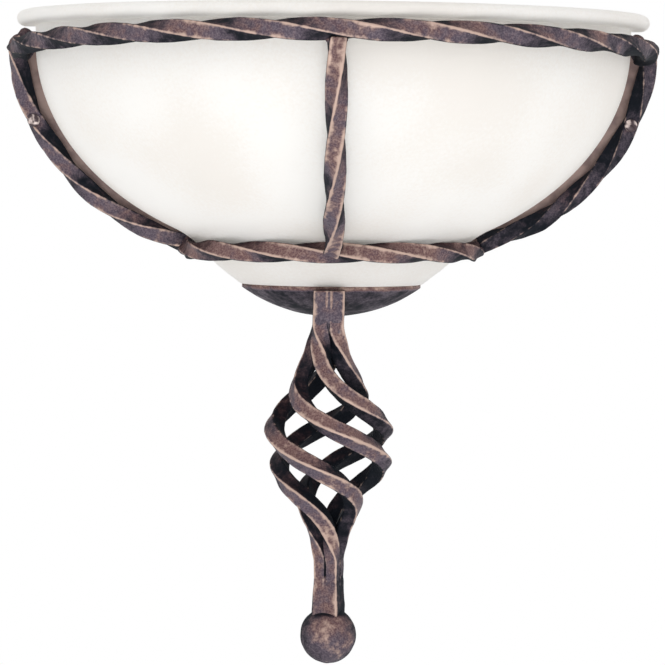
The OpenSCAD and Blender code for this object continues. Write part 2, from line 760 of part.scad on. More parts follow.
module nipple() {
    color(brass) on_lamp_axis() translate([0, 0, -arm_t - nut_h - 2]) difference() {
        cylinder(h = arm_t + nut_h + 2 + 7, d = nipple_d, $fn = 48);
        translate([0, 0, -1]) cylinder(h = 30, d = nipple_bore, $fn = 48);
    }
}

module lock_nut() {
    color(brass) on_lamp_axis() translate([0, 0, -arm_t - nut_h]) difference() {
        cylinder(h = nut_h, d = 16, $fn = 6);
        translate([0, 0, -1]) cylinder(h = nut_h + 2, d = nipple_d + 0.04, $fn = 48);
    }
}

// Lampholder

base_h = 14;
holder_d = 40;
carrier_d = 35;
carrier_z = 11;
carrier_t = 5;
sleeve_top = 42;
shell_t = 0.7;
shell_top = 40;
rivet_d = 3;
contact_top = carrier_z + carrier_t + 1.2;

module revolved(points) {
    on_lamp_axis() rotate_extrude($fn = 64) polygon(points);
}

module holder_base() {
    floor_t = 4;
    hole = nipple_d / 2 + 0.02;
    color(black_resin) revolved([[hole, 0], [holder_d / 2 - 4, 0], [holder_d / 2, 6], [holder_d / 2, base_h],
        [carrier_d / 2 + 0.1, base_h], [carrier_d / 2 + 0.1, carrier_z], [carrier_d / 2 - 2, carrier_z],
        [carrier_d / 2 - 2, floor_t], [hole, floor_t]]);
}

module holder_sleeve() {
    shelf = carrier_z + carrier_t;
    bore = shell_d / 2 + shell_t + 0.3;
    color(black_resin) revolved([[carrier_d / 2 + 0.1, base_h], [holder_d / 2, base_h],
        [holder_d / 2, base_h + 16], [holder_d / 2 - 1, base_h + 17], [holder_d / 2 - 1, sleeve_top - 1],
        [holder_d / 2 - 2, sleeve_top], [bore, sleeve_top], [bore, shelf], [carrier_d / 2 + 0.1, shelf]]);
}

module contact_carrier() {
    color(white_resin) revolved([[rivet_d / 2, carrier_z], [carrier_d / 2, carrier_z],
        [carrier_d / 2, carrier_z + carrier_t], [rivet_d / 2, carrier_z + carrier_t]]);
}

module screw_shell() {
    foot = carrier_z + carrier_t;
    color(brass) revolved([[shell_d / 2, foot], [shell_d / 2 + shell_t, foot],
        [shell_d / 2 + shell_t, shell_top], [shell_d / 2, shell_top]]);
}

module centre_contact() {
    foot = carrier_z + carrier_t;
    shank = rivet_d / 2 - 0.01;
    color(brass) revolved([[0, carrier_z - 1], [shank, carrier_z - 1], [shank, foot],
        [4.5, foot], [4.5, contact_top - 0.6], [3, contact_top], [0, contact_top]]);
}

// Leads: live and neutral run through the arm and up the nipple, earth goes to the plate

nipple_end = shelf_z - arm_t - nut_h - 2;
lead_x = 1.5;
lead_r = lead_d / 2;

// Route of a lead from a pole of the block down to the nipple, on one side of the middle
function lamp_route(pole, side) = [
    [pole * pole_pitch, tube_y, block_z + 8],
    [pole * pole_pitch, tube_y, block_z - 1],
    [(pole * pole_pitch + side * 2) / 2, tube_y - 2, block_z - 12],
    [side * 2, wire_hole_y + 2, arm_screw_z],
    [side * 2, wire_hole_y, shelf_z + 8],
    [side * 2, wire_hole_y, shelf_z - arm_t],
    [side * 2, wire_hole_y - 5, shelf_z - arm_t - 6],
    [side * 2, wire_hole_y - 18, shelf_z - arm_t - 8],
    [side * 2, lamp_y + 12, nipple_end - 4],
    [side * lead_x, lamp_y + 4, nipple_end - 4.6],
    [side * lead_x, lamp_y, nipple_end],
    [side * lead_x, lamp_y, shelf_z],
    [side * lead_x, lamp_y, shelf_z + 5]
];

module live_lead() {
    color("brown") tube_along(smooth(concat(lamp_route(-1, -1),
        [[0, lamp_y, shelf_z + 8], [0, lamp_y, shelf_z + carrier_z - 1.05]])), lead_r);
}

module neutral_lead() {
    color("royalblue") tube_along(smooth(concat(lamp_route(0, 1),
        [[4, lamp_y, shelf_z + 8.4], [8, lamp_y, shelf_z + carrier_z - 2],
        [9, lamp_y, shelf_z + carrier_z - 0.3]])), lead_r, [0, 1, 0]);
}

module earth_lead() {
    tip = [earth_x + 9 * cos(tag_angle), -sheet - tag_t - lead_r, earth_z + 9 * sin(tag_angle)];
    back = [cos(tag_angle), 0, sin(tag_angle)];
    color("yellowgreen") tube_along(smooth([
        [pole_pitch, tube_y, block_z + 8],
        [pole_pitch, tube_y, block_z - 0.5],
        [pole_pitch + 4, tube_y, block_z - 6],
        [pole_pitch + 12, tube_y + 1, block_z - 8],
        [pole_pitch + 22, tube_y + 2, block_z - 5],
        tip + 7 * back,
        tip
    ]), lead_r, [0, 1, 0]);
}

// Lamp: it screws into the shell

tip_z = contact_top + 0.05;
cap_d = shell_d - 2 * cap_fit;
cap_foot = tip_z + 5;
cap_top = shell_top + 3;
globe_z = shelf_z + cap_top + globe_d / 2 + 2.5;

module lamp_contact() {
    color(zinc) revolved([[0, tip_z], [3.6, tip_z], [4.6, tip_z + 0.5], [4.6, tip_z + 1.2],
        [0, tip_z + 1.2]]);
}

module lamp_insulator() {
    color(black_resin) revolved([[0, tip_z + 1.2], [5, tip_z + 1.2], [11, cap_foot], [0, cap_foot]]);
}

module lamp_cap() {
    wall = 0.6;
    color(zinc) revolved([[0, cap_foot], [11, cap_foot], [cap_d / 2, cap_foot + 2.5], [cap_d / 2, cap_top],
        [cap_d / 2 - wall, cap_top], [cap_d / 2 - wall, cap_foot + 3], [10.6, cap_foot + wall],
        [0, cap_foot + wall]]);
}

module lamp_globe() {
    wall = 1.2;
    r = globe_d / 2;
    neck = cap_d / 2 - 0.6 - 0.05;
    centre = globe_z - shelf_z;
    low = cap_foot + 8;
    turn = asin(neck / r);
    turn_in = asin((neck - wall) / (r - wall));
    color(opal) revolved(concat(
        [[neck - wall, low], [neck, low]],
        arc(0, centre, r, turn - 90, 90, 2 * quarter),
        arc(0, centre, r - wall, 90, turn_in - 90, 2 * quarter)));
}

top_ring();
lower_ring();
centre_rib();
left_rib();
right_rib();
back_frame();
bottom_dish();
strand_1();
strand_2();
strand_3();
strand_4();
neck_block();
ball_finial();
side_screws();
glass_bowl();
crossbar();
rivet_nuts();
cable_grommet();
terminal_block();
terminal_tubes();
terminal_screws();
earth_screw();
earth_tag();
lamp_arm();
arm_screws();
nipple();
lock_nut();
holder_base();
holder_sleeve();
contact_carrier();
screw_shell();
centre_contact();
live_lead();
neutral_lead();
earth_lead();
lamp_contact();
lamp_insulator();
lamp_cap();
lamp_globe();
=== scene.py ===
import json
import math

import bmesh
import bpy
import numpy as np
from mathutils import Matrix, Vector, noise


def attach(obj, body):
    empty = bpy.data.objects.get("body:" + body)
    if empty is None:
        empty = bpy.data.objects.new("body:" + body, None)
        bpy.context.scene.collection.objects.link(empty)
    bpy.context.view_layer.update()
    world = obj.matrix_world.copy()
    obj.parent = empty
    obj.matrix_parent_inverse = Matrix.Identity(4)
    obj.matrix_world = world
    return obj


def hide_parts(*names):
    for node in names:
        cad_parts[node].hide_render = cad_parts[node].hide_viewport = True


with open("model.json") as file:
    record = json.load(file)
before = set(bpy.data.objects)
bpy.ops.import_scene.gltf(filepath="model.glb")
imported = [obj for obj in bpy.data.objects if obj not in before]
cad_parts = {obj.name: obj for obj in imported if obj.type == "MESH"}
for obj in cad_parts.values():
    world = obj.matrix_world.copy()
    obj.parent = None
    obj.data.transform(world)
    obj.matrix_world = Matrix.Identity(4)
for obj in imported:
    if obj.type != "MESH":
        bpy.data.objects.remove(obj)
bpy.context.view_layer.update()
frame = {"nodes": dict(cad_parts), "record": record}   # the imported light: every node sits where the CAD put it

print("frame loaded:", len(frame["nodes"]), "nodes")

mm = 0.001   # sizes below are in millimetres, the scene is in metres

# where things are, the same numbers as in the part's source
light = {
    "standoff": 16, "bar": 8, "weld": 0.5, "frameFront": 11.09,
    "ringZ": 36.5, "shoulderZ": 40.5, "lowerZ": -69, "ringR": 172, "ribHeight": 123,
    "dishZ": -87.8, "dishR": 48.9, "dishRim": 1.6, "dishDepth": 17.5, "dishSheet": 2,
}
drop = (light["shoulderZ"] - light["lowerZ"]) / light["ribHeight"]
light["lowerR"] = light["ringR"] * math.sqrt(1 - drop * drop)

# Camera, at the photograph's viewing angle: a little left of the middle, level with the lower half
# of the bowl and tilted down a little
view = {
    "x": -11.2, "y": -1166, "z": -47.0,
    "yaw": -0.01055, "pitch": -0.0585, "roll": 0.0088,   # radians
    "focal": 2099.3, "picture": 665,                     # pixels
    "sensor": 36, "near": 50, "far": 50000,
}


def makeCamera():
    data = bpy.data.cameras.new("camera")
    data.sensor_width = view["sensor"]
    data.lens = view["focal"] / view["picture"] * view["sensor"]
    data.clip_start, data.clip_end = view["near"] * mm, view["far"] * mm
    cam = bpy.data.objects.new("camera", data)
    cam.matrix_world = (
        Matrix.Translation((view["x"] * mm, view["y"] * mm, view["z"] * mm))
        @ Matrix.Rotation(view["yaw"], 4, "Z")
        @ Matrix.Rotation(math.pi / 2 + view["pitch"], 4, "X")
        @ Matrix.Rotation(view["roll"], 4, "Z")
    )
    bpy.context.scene.collection.objects.link(cam)
    bpy.context.scene.camera = cam


makeCamera()
print("camera placed")


# Materials

def linear(hexColour):
    parts = [int(hexColour[i:i + 2], 16) / 255 for i in (1, 3, 5)]
    return [c / 12.92 if c <= 0.04045 else ((c + 0.055) / 1.055) ** 2.4 for c in parts] + [1.0]


# A node with its settings and its inputs; a node given as an input means its first output in use
def add(tree, kind, settings=None, inputs=None):
    node = tree.nodes.new("ShaderNode" + kind)
    for key, value in (settings or {}).items():
        setattr(node, key, value)
    for key, value in (inputs or {}).items():
        if isinstance(value, bpy.types.Node):
            value = next(out for out in value.outputs if out.enabled)
        if isinstance(value, bpy.types.NodeSocket):
            tree.links.new(value, node.inputs[key])
        else:
            node.inputs[key].default_value = value
    return node


def newMaterial(name):
    material = bpy.data.materials.new(name)
    material.use_nodes = True
    material.node_tree.nodes.clear()
    return material, material.node_tree


# settings that come back: a mix of two colours (share in 0, colours in 6 and 7), a soft step from
# one value to another, and input 0 times input 1 plus input 2
colours = {"data_type": "RGBA"}
softly = {"interpolation_type": "SMOOTHSTEP"}
timesPlus = {"operation": "MULTIPLY_ADD"}

rubbedIron = {
    "colours": {
        "primer": "#0b111a",       # blue-black paint, left bare in the hollows
        "maroon": "#2b171c",       # red oxide showing through it in patches
        "wax": "#4c424f",          # purple-grey wax wiped over what faces out
        "paleWax": "#6c616a",      # where it dried in specks
        "bronze": "#5d4244",       # red-brown, on what faces up and on worn patches
        "paleBronze": "#866b65",
        "copper": "#c0a699",       # leafing rubbed on the ridges
    },
    # noise: size in mm, detail, roughness
    "clouds": {"patch": (16, 3, 0.5), "fleck": (3.6, 2, 0.5), "speck": (0.9, 2, 0.6)},
    # start and weights of each sum; ridge, outer and warm are marks on the bars
    "sums": {
        "waxed": (-0.9, {"outer": 1.0, "patch": 1.1, "fleck": 0.7}),
        "bronzed": (-1.4, {"patch": 1.2, "fleck": 0.7, "warm": 0.6, "upward": 0.35, "outer": 0.45}),
        "worn": (-2.65, {"ridge": 1.1, "fleck": 2.0, "patch": 1.3, "outer": 0.95}),
        "specked": (0.0, {"speck": 1.0}),
        "relief": (0.0, {"speck": 0.4, "fleck": 1.5}),
    },
    # sums between which a layer goes from none to full
    "layers": {"waxed": (0.02, 0.8), "bronzed": (-0.15, 0.5), "worn": (0.0, 0.95), "specked": (0.32, 0.72)},
    # colour made: the layer that decides, the colour outside it and the colour in it
    "mixes": {
        "waxes": ("specked", "wax", "paleWax"),
        "bronzes": ("specked", "bronze", "paleBronze"),
        "paint": ("bronzed", "primer", "maroon"),
        "faces": ("bronzed", "waxes", "bronzes"),
        "rubbed": ("waxed", "paint", "faces"),
        "whole": ("worn", "rubbed", "copper"),
    },
    "metallic": (0.0, 0.25),       # paint, worn ridges
    "roughness": (0.8, 0.5),       # bare paint, wax
    "specular": 0.18,
    "dent": 0.12, "bump": 0.5,     # mm, strength
}


# Mild steel bar, painted blue-black and rubbed by hand with bronze and copper wax: dark in the
# hollows, speckled purple-brown on the faces and pale in broken lines along the ridges
def makeRubbedIron():
    material, tree = newMaterial("rubbedIron")
    place = add(tree, "TexCoord").outputs["Object"]
    normal = add(tree, "NewGeometry").outputs["Normal"]
    signs = {"upward": add(tree, "SeparateXYZ", inputs={0: normal}).outputs["Z"]}
    for mark in ("ridge", "outer", "warm"):
        signs[mark] = add(tree, "Attribute", {"attribute_name": mark}).outputs["Fac"]
    for name, (size, detail, roughness) in rubbedIron["clouds"].items():
        signs[name] = add(tree, "TexNoise", inputs={
            "Vector": place, "Scale": 1 / (size * mm), "Detail": detail, "Roughness": roughness})
    sums = {}
    for name, (total, weights) in rubbedIron["sums"].items():
        for sign, weight in weights.items():
            total = add(tree, "Math", timesPlus, {0: signs[sign], 1: weight, 2: total})
        sums[name] = total
    layers = {}
    for name, (low, high) in rubbedIron["layers"].items():
        layers[name] = add(tree, "MapRange", softly, {"Value": sums[name], "From Min": low, "From Max": high})
    tones = {name: linear(colour) for name, colour in rubbedIron["colours"].items()}
    for name, (layer, outside, inside) in rubbedIron["mixes"].items():
        tones[name] = add(tree, "Mix", colours, {0: layers[layer], 6: tones[outside], 7: tones[inside]})
    relief = add(tree, "Bump", inputs={
        "Strength": rubbedIron["bump"], "Distance": rubbedIron["dent"] * mm, "Height": sums["relief"]})
    painted, bare = rubbedIron["metallic"]
    metallic = add(tree, "MapRange", softly, {"Value": layers["worn"], "To Min": painted, "To Max": bare})
    matt, satin = rubbedIron["roughness"]
    roughness = add(tree, "MapRange", softly, {"Value": layers["waxed"], "To Min": matt, "To Max": satin})
    shader = add(tree, "BsdfPrincipled", inputs={
        "Base Color": tones["whole"], "Metallic": metallic, "Roughness": roughness,
        "Specular IOR Level": rubbedIron["specular"], "Normal": relief})
    add(tree, "OutputMaterial", inputs={"Surface": shader})
    return material


plain = {
    # name: colour, second colour, pattern size in mm, metallic, roughness, bump in mm
    "satinBrownEnamel": ("#98817a", "#77625f", 9, 0.1, 0.5, 0.03),    # smooth, a slight orange peel
    "brightZincPlate": ("#c8cbcd", "#bcc1c6", 5, 0.9, 0.34, 0.02),    # on pressed steel, a blue-grey bloom
    "turnedBrass": ("#d9b871", "#b89350", 2.5, 0.95, 0.28, 0.01),     # drawn and turned, lightly dulled
    "blackPhenolic": ("#1c1b1b", "#2a2827", 1.2, 0.0, 0.45, 0.02),    # moulded, with a fine matt grain
    "whitePolyamide": ("#e4e2da", "#d3d0c6", 2.0, 0.0, 0.5, 0.02),    # moulded nylon, slightly waxy
    "blackRubber": ("#191919", "#262525", 1.0, 0.0, 0.75, 0.04),      # moulded, quite matt
    "brownPvc": ("#5c3a25", "#4a2d1c", 3.0, 0.0, 0.4, 0.01),          # drawn insulation, a soft gloss
    "bluePvc": ("#2d6db3", "#24599a", 3.0, 0.0, 0.4, 0.01),           # the same
    "nickelledCap": ("#c6c4be", "#a9a69e", 1.6, 0.9, 0.32, 0.01),     # thin nickel over brass, a warm grey
    "opalLampGlass": ("#f5f4f0", "#ecebe6", 6.0, 0.0, 0.35, 0.001),   # powder-coated inside, an even white
}
plainCloud = {"detail": 3, "low": 0.35, "high": 0.68, "smoother": 0.08, "rougher": 0.1, "bump": 0.4}


# One base for the plain moulded, plated and drawn finishes: two near colours in a cloud of a real
# size, with the roughness and a faint bump following it
def makePlain(name):
    colour, second, size, metallic, roughness, bump = plain[name]
    material, tree = newMaterial(name)
    place = add(tree, "TexCoord").outputs["Object"]
    cloud = add(tree, "TexNoise", inputs={
        "Vector": place, "Scale": 1 / (size * mm), "Detail": plainCloud["detail"]})
    share = add(tree, "MapRange", softly, {
        "Value": cloud, "From Min": plainCloud["low"], "From Max": plainCloud["high"]})
    gloss = add(tree, "MapRange", softly, {
        "Value": cloud, "To Min": roughness - plainCloud["smoother"],
        "To Max": roughness + plainCloud["rougher"]})
    shader = add(tree, "BsdfPrincipled", inputs={
        "Base Color": add(tree, "Mix", colours, {0: share, 6: linear(colour), 7: linear(second)}),
        "Metallic": metallic, "Roughness": gloss,
        "Normal": add(tree, "Bump", inputs={
            "Strength": plainCloud["bump"], "Distance": bump * mm, "Height": cloud})})
    add(tree, "OutputMaterial", inputs={"Surface": shader})
    return material


screwSteel = {
    "plated": "#e0cfc9", "browned": "#4a3c40", "slotShade": "#0f0d0f",
    "spot": 4.5, "slot": 0.9, "dent": 0.05,             # mm
    "detail": 2, "brown": (0.42, 0.58), "clear": (0.3, 0.62), "bump": 0.4,
    "metallic": 0.35, "roughness": (0.85, 0.45),        # the slot's painted shade, plating
    "samples": 8,
}


# Slotted screw heads: plating worn through to brown, with painted shade, near black, down in the slot
def makeScrewSteel():
    material, tree = newMaterial("wornScrewSteel")
    place = add(tree, "TexCoord").outputs["Object"]
    spot = add(tree, "TexNoise", inputs={
        "Vector": place, "Scale": 1 / (screwSteel["spot"] * mm), "Detail": screwSteel["detail"]})
    # how enclosed each point is: where it is enclosed, the slot is painted near black as shade
    crevice = add(tree, "AmbientOcclusion", {"samples": screwSteel["samples"], "only_local": True}, {
        "Distance": screwSteel["slot"] * mm}).outputs["AO"]
    low, high = screwSteel["brown"]
    brown = add(tree, "MapRange", softly, {"Value": spot, "From Min": low, "From Max": high})
    low, high = screwSteel["clear"]
    clear = add(tree, "MapRange", softly, {"Value": crevice, "From Min": low, "From Max": high})
    metal = add(tree, "Mix", colours, {
        0: brown, 6: linear(screwSteel["plated"]), 7: linear(screwSteel["browned"])})
    matt, satin = screwSteel["roughness"]
    shader = add(tree, "BsdfPrincipled", inputs={
        "Base Color": add(tree, "Mix", colours, {0: clear, 6: linear(screwSteel["slotShade"]), 7: metal}),
        "Metallic": screwSteel["metallic"],
        "Roughness": add(tree, "MapRange", softly, {"Value": clear, "To Min": matt, "To Max": satin}),
        "Normal": add(tree, "Bump", inputs={
            "Strength": screwSteel["bump"], "Distance": screwSteel["dent"] * mm, "Height": spot})})
    add(tree, "OutputMaterial", inputs={"Surface": shader})
    return material


stripedPvc = {
    "green": "#3f7d2c", "yellow": "#d9c832", "stripe": 14, "wander": 0.4,   # stripe in mm
    "edge": (0.46, 0.54), "roughness": 0.4,
}


# Earth lead: drawn PVC, green with slanting yellow stripes in a soft gloss
def makeStripedPvc():
    material, tree = newMaterial("greenYellowPvc")
    place = add(tree, "TexCoord").outputs["Object"]
    bands = add(tree, "TexWave", {"bands_direction": "DIAGONAL"}, {
        "Vector": place, "Scale": 1 / (stripedPvc["stripe"] * mm), "Distortion": stripedPvc["wander"]})
    low, high = stripedPvc["edge"]
    striped = add(tree, "MapRange", softly, {
        "Value": bands.outputs["Fac"], "From Min": low, "From Max": high})
    tint = add(tree, "Mix", colours, {
        0: striped, 6: linear(stripedPvc["green"]), 7: linear(stripedPvc["yellow"])})
    shader = add(tree, "BsdfPrincipled", inputs={"Base Color": tint, "Roughness": stripedPvc["roughness"]})
    add(tree, "OutputMaterial", inputs={"Surface": shader})
    return material


opal = {
    "body": "#fdfcfa", "cloud": "#f8f5f1",                  # milk white with a faint warm mottle
    "clouds": ((1.6, 3, 0.6, 0.6), (60, 1, 0.5, 1.0)),      # mm, detail, roughness, weight
    "cloudy": (0.6, 1.0),                                   # sums between which the second colour comes
    "roughness": 0.42, "ior": 1.5, "dent": 0.1, "bump": 0.15,   # dent in mm
    "through": 0.36,                                        # share of the light that passes the wall
}


# Opal glass blown in a mould and etched to satin: white and softly glossy, and some light goes through
def makeOpalGlass():
    material, tree = newMaterial("satinOpalGlass")
    place = add(tree, "TexCoord").outputs["Object"]
    total, mottle = 0.0, None
    for size, detail, roughness, weight in opal["clouds"]:
        cloud = add(tree, "TexNoise", inputs={
            "Vector": place, "Scale": 1 / (size * mm), "Detail": detail, "Roughness": roughness})
        total = add(tree, "Math", timesPlus, {0: cloud, 1: weight, 2: total})
        mottle = mottle or cloud   # the finer one is also felt as a bump
    low, high = opal["cloudy"]
    share = add(tree, "MapRange", softly, {"Value": total, "From Min": low, "From Max": high})
    tint = add(tree, "Mix", colours, {0: share, 6: linear(opal["body"]), 7: linear(opal["cloud"])})
    relief = add(tree, "Bump", inputs={
        "Strength": opal["bump"], "Distance": opal["dent"] * mm, "Height": mottle})
    body = add(tree, "BsdfPrincipled", inputs={
        "Base Color": tint, "Roughness": opal["roughness"], "IOR": opal["ior"], "Normal": relief})
    through = add(tree, "BsdfTranslucent", inputs={"Color": tint})
    shader = add(tree, "MixShader", inputs={0: opal["through"], 1: body, 2: through})
    add(tree, "OutputMaterial", inputs={"Surface": shader})
    return material


materials = {name: makePlain(name) for name in plain}
materials["rubbedIron"] = makeRubbedIron()
materials["wornScrewSteel"] = makeScrewSteel()
materials["greenYellowPvc"] = makeStripedPvc()
materials["satinOpalGlass"] = makeOpalGlass()

# the record's slots and what each really is
finishOf = {
    "antique_iron": "rubbedIron", "brown_iron": "satinBrownEnamel", "screw_steel": "wornScrewSteel",
    "opal_glass": "satinOpalGlass", "zinc_steel": "brightZincPlate", "brass": "turnedBrass",
    "black_resin": "blackPhenolic", "white_resin": "whitePolyamide", "black_rubber": "blackRubber",
    "brown_insulation": "brownPvc", "blue_insulation": "bluePvc", "green_insulation": "greenYellowPvc",
    "cap_metal": "nickelledCap", "lamp_glass": "opalLampGlass",
}


def dressNodes():
    for part in frame["record"]["subparts"]:
        node = frame["nodes"][part["node"]]
        finish = materials[finishOf[part["material_slot"]]]
        if not node.material_slots:
            node.data.materials.append(finish)
        for slot in node.material_slots:
            slot.material = finish


dressNodes()
print("materials made:", len(materials))


# Iron pieces: each rides on the front and stands for its node, or is a weld bead of its own

def makeIron(name, points, faces, marks, node=None):
    data = bpy.data.meshes.new(name)
    data.from_pydata([tuple(p) for p in np.asarray(points) * mm], [], faces)
    data.polygons.foreach_set("use_smooth", [True] * len(data.polygons))
    for mark, values in marks.items():
        values = np.broadcast_to(np.asarray(values, np.float32), len(points))
        data.attributes.new(mark, "FLOAT", "POINT").data.foreach_set("value", values.copy())
    data.materials.append(materials["rubbedIron"])
    data.update()
    piece = bpy.data.objects.new(name, data)
    bpy.context.scene.collection.objects.link(piece)
    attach(piece, "front")
    if node:
        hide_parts(node)
    return piece


def unit(v):
    return v / np.linalg.norm(v, axis=-1, keepdims=True)


def smoothStep(x):
    x = np.clip(x, 0, 1)
    return x * x * (3 - 2 * x)


hammerMarks = {"finer": 2.3, "fineShare": 0.5}   # small dents among the large ones


def hammered(points, size):
    return np.array([noise.noise(Vector(p / size))
                     + hammerMarks["fineShare"] * noise.noise(Vector(p / size * hammerMarks["finer"]))
                     for p in points])


sectionSteps = {"corner": 6, "face": (0.6, 0.2, -0.2, -0.6)}   # steps round a corner, places on a face
roundEnd = (80, 60, 40, 20)   # degrees, the stations in a bar's rounded end


# Section of a square bar with rounded corners and faces that sink a little: its points, which way
# they face, and how near each is to the middle of a ridge
def squareSection(style):
    h, corner, steps = style["side"] / 2, style["corner"], sectionSteps["corner"]
    points, facing, ridge = [], [], []
    for quadrant in range(4):
        turn = math.radians(90 * quadrant)
        local = []
        for k in range(steps + 1):
            a = math.radians(90 / steps * k)
            local.append((h - corner + corner * math.cos(a), h - corner + corner * math.sin(a),
                          a, 1 - abs(k - steps / 2) / steps))
        for s in sectionSteps["face"]:
            local.append((s * (h - corner), h - style["sink"] * (1 - s * s), math.pi / 2, 0))
        for x, y, a, r in local:
            points.append((x * math.cos(turn) - y * math.sin(turn),
                           x * math.sin(turn) + y * math.cos(turn)))
            facing.append((math.cos(a + turn), math.sin(a + turn)))
            ridge.append(r)
    return np.array(points), np.array(facing), np.array(ridge)


# The line of a bar, sampled again in even steps between two rounded ends; thin says how much
# narrower the bar is at a station
def stations(line, style):
    path = line["path"]
    s = np.concatenate([[0], np.cumsum(np.linalg.norm(np.diff(path, axis=0), axis=1))])
    first, last = line["round"]
    even = np.linspace(first, s[-1] - last, int((s[-1] - first - last) / style["step"]) + 2)
    arcs = np.radians(roundEnd)
    at = np.concatenate([first * (1 - np.sin(arcs)), even, s[-1] - last * (1 - np.sin(arcs[::-1]))])
    thin = np.concatenate([2 * first * (1 - np.cos(arcs)), 0 * even, 2 * last * (1 - np.cos(arcs[::-1]))])
    out = {"thin": thin}
    for key in ("path", "towards", "outward"):
        out[key] = np.stack([np.interp(at, s, line[key][:, axis]) for axis in range(3)], axis=1)
    for key in ("turns", "widths"):
        out[key] = np.interp(at, s, np.broadcast_to(line[key], s.shape))
    return out


# A square bar along a line: the line's turns roll the section, and reshape changes the points last
def sweep(name, line, style, warm, node, reshape=None):
    section, facing, ridge = squareSection(style)
    line = stations(line, style)
    tangent = unit(np.gradient(line["path"], axis=0))
    towards = line["towards"]
    across = unit(towards - tangent * np.sum(towards * tangent, axis=1, keepdims=True))
    beside = np.cross(tangent, across)
    turns = np.radians(line["turns"])[:, None]
    scale = ((line["widths"] - line["thin"]) / style["side"])[:, None, None]

    def rolled(flat):
        x = flat[:, 0] * np.cos(turns) - flat[:, 1] * np.sin(turns)
        y = flat[:, 0] * np.sin(turns) + flat[:, 1] * np.cos(turns)
        return across[:, None, :] * x[..., None] + beside[:, None, :] * y[..., None]

    arm = rolled(section) * scale
    points = line["path"][:, None, :] + arm
    count, around = points.shape[:2]
    outer = np.sum(rolled(facing) * line["outward"][:, None, :], axis=2)
    outer = outer * np.abs(outer)   # only what faces well along outward gets the mark: wax, and painted light where outward leans to the front
    push = hammered(points.reshape(-1, 3), style["dent"]).reshape(count, around, 1)
    points = points + unit(arm) * push * style["hammer"]
    if reshape:
        points = reshape(points)
    faces = []
    for row in range(0, (count - 1) * around, around):
        for j in range(around):
            k = (j + 1) % around
            faces.append((row + j, row + k, row + around + k, row + around + j))
    faces.append(tuple(range(around - 1, -1, -1)))
    faces.append(tuple((count - 1) * around + j for j in range(around)))
    marks = {"ridge": np.tile(ridge, count), "outer": outer.ravel(), "warm": warm}
    return makeIron(name, points.reshape(-1, 3), faces, marks, node)


# A hammered lump: the ball, or a weld bead where bars meet
def makeLump(name, centre, radii, dents, marks, node=None):
    rows, around = dents["rows"], dents["rows"] * 2
    directions = [(0, 0, 1)]
    for i in range(1, rows):
        down = math.pi * i / rows
        out = math.sin(down)
        for j in range(around):
            turn = math.pi * j / rows
            directions.append((out * math.cos(turn), out * math.sin(turn), math.cos(down)))
    directions = np.array(directions + [(0, 0, -1)])
    points = np.array(centre) + directions * radii
    points = points + directions * (hammered(points, dents["size"]) * dents["depth"])[:, None]
    last = len(directions) - 1
    faces = [(0, 1 + j, 1 + (j + 1) % around) for j in range(around)]
    for row in range(1, 1 + (rows - 2) * around, around):
        for j in range(around):
            k = (j + 1) % around
            faces.append((row + j, row + around + j, row + around + k, row + k))
    faces += [(last, last - around + (j + 1) % around, last - around + j) for j in range(around)]
    return makeIron(name, points, faces, marks(directions), node)


# side, corner's radius, sink of the faces, depth and size of the hammer marks, step along the bar
cageBar = {"side": 8.3, "corner": 1.0, "sink": 0.2, "hammer": 0.2, "dent": 9, "step": 1.3}   # mm

# first: degrees round the ring at which the bar starts; flatAt: degrees at which a flat faces out;
# bendIn and bendLength: mm that the ends bend in, and over what length; warm and rubbed: shares of wax
rings = {
    "top": {
        "node": "top_ring", "radius": light["ringR"], "z": light["ringZ"], "flatAt": 88.1, "pitch": 146,
        "first": math.degrees(math.asin((light["bar"] / 2 - light["weld"] / 4) / light["ringR"])),
        "bendIn": 6.2, "bendLength": 62, "round": 4.5, "warm": 0.35, "rubbed": 1,
    },
    "lower": {
        "node": "lower_ring", "radius": light["lowerR"], "z": light["lowerZ"], "flatAt": 78, "pitch": 146,
        "first": -math.degrees(math.asin((light["standoff"] - light["frameFront"]) / light["lowerR"])),
        "bendIn": 2.6, "bendLength": 20, "round": 5, "warm": 0.85, "rubbed": 1.15,
    },
}
ringBar = {
    "stations": 400,
    "tipLength": 14, "tipSlimmer": 0.2,   # mm and share, the ends are hammered slimmer
    "rubOut": 0.4, "frontRubAndLight": 0.6,       # how much wax what faces out took, and how much wax and painted light what faces the front gets
}


def makeRing(which):
    ring = rings[which]
    r = ring["radius"]
    a = np.linspace(ring["first"], 180 - ring["first"], ringBar["stations"])
    toEnd = (90 - ring["first"] - np.abs(a - 90)) * math.pi / 180 * r
    bent = r - ring["bendIn"] * np.clip(1 - toEnd / ring["bendLength"], 0, 1) ** 2
    slim = ringBar["tipSlimmer"] * np.clip(1 - toEnd / ringBar["tipLength"], 0, 1) ** 2
    ca, sa = np.cos(np.radians(a)), np.sin(np.radians(a))
    outward = np.stack([ca, -sa, np.zeros_like(a)], axis=1)
    # the share towards the front is painted light as well as wax, so the ring's ends, turned aside, come out
    # darker
    rubbed = ringBar["rubOut"] * outward + ringBar["frontRubAndLight"] * np.array([0, -1, 0])
    line = {
        "path": np.stack([bent * ca, -light["standoff"] - bent * sa, np.full_like(a, ring["z"])], axis=1),
        "towards": outward, "outward": ring["rubbed"] * rubbed,
        "turns": (a - ring["flatAt"]) * math.pi / 180 * r * 360 / ring["pitch"],
        "widths": cageBar["side"] * (1 - slim),
        "round": (ring["round"], ring["round"]),
    }
    sweep(which + "Ring", line, cageBar, ring["warm"], ring["node"])


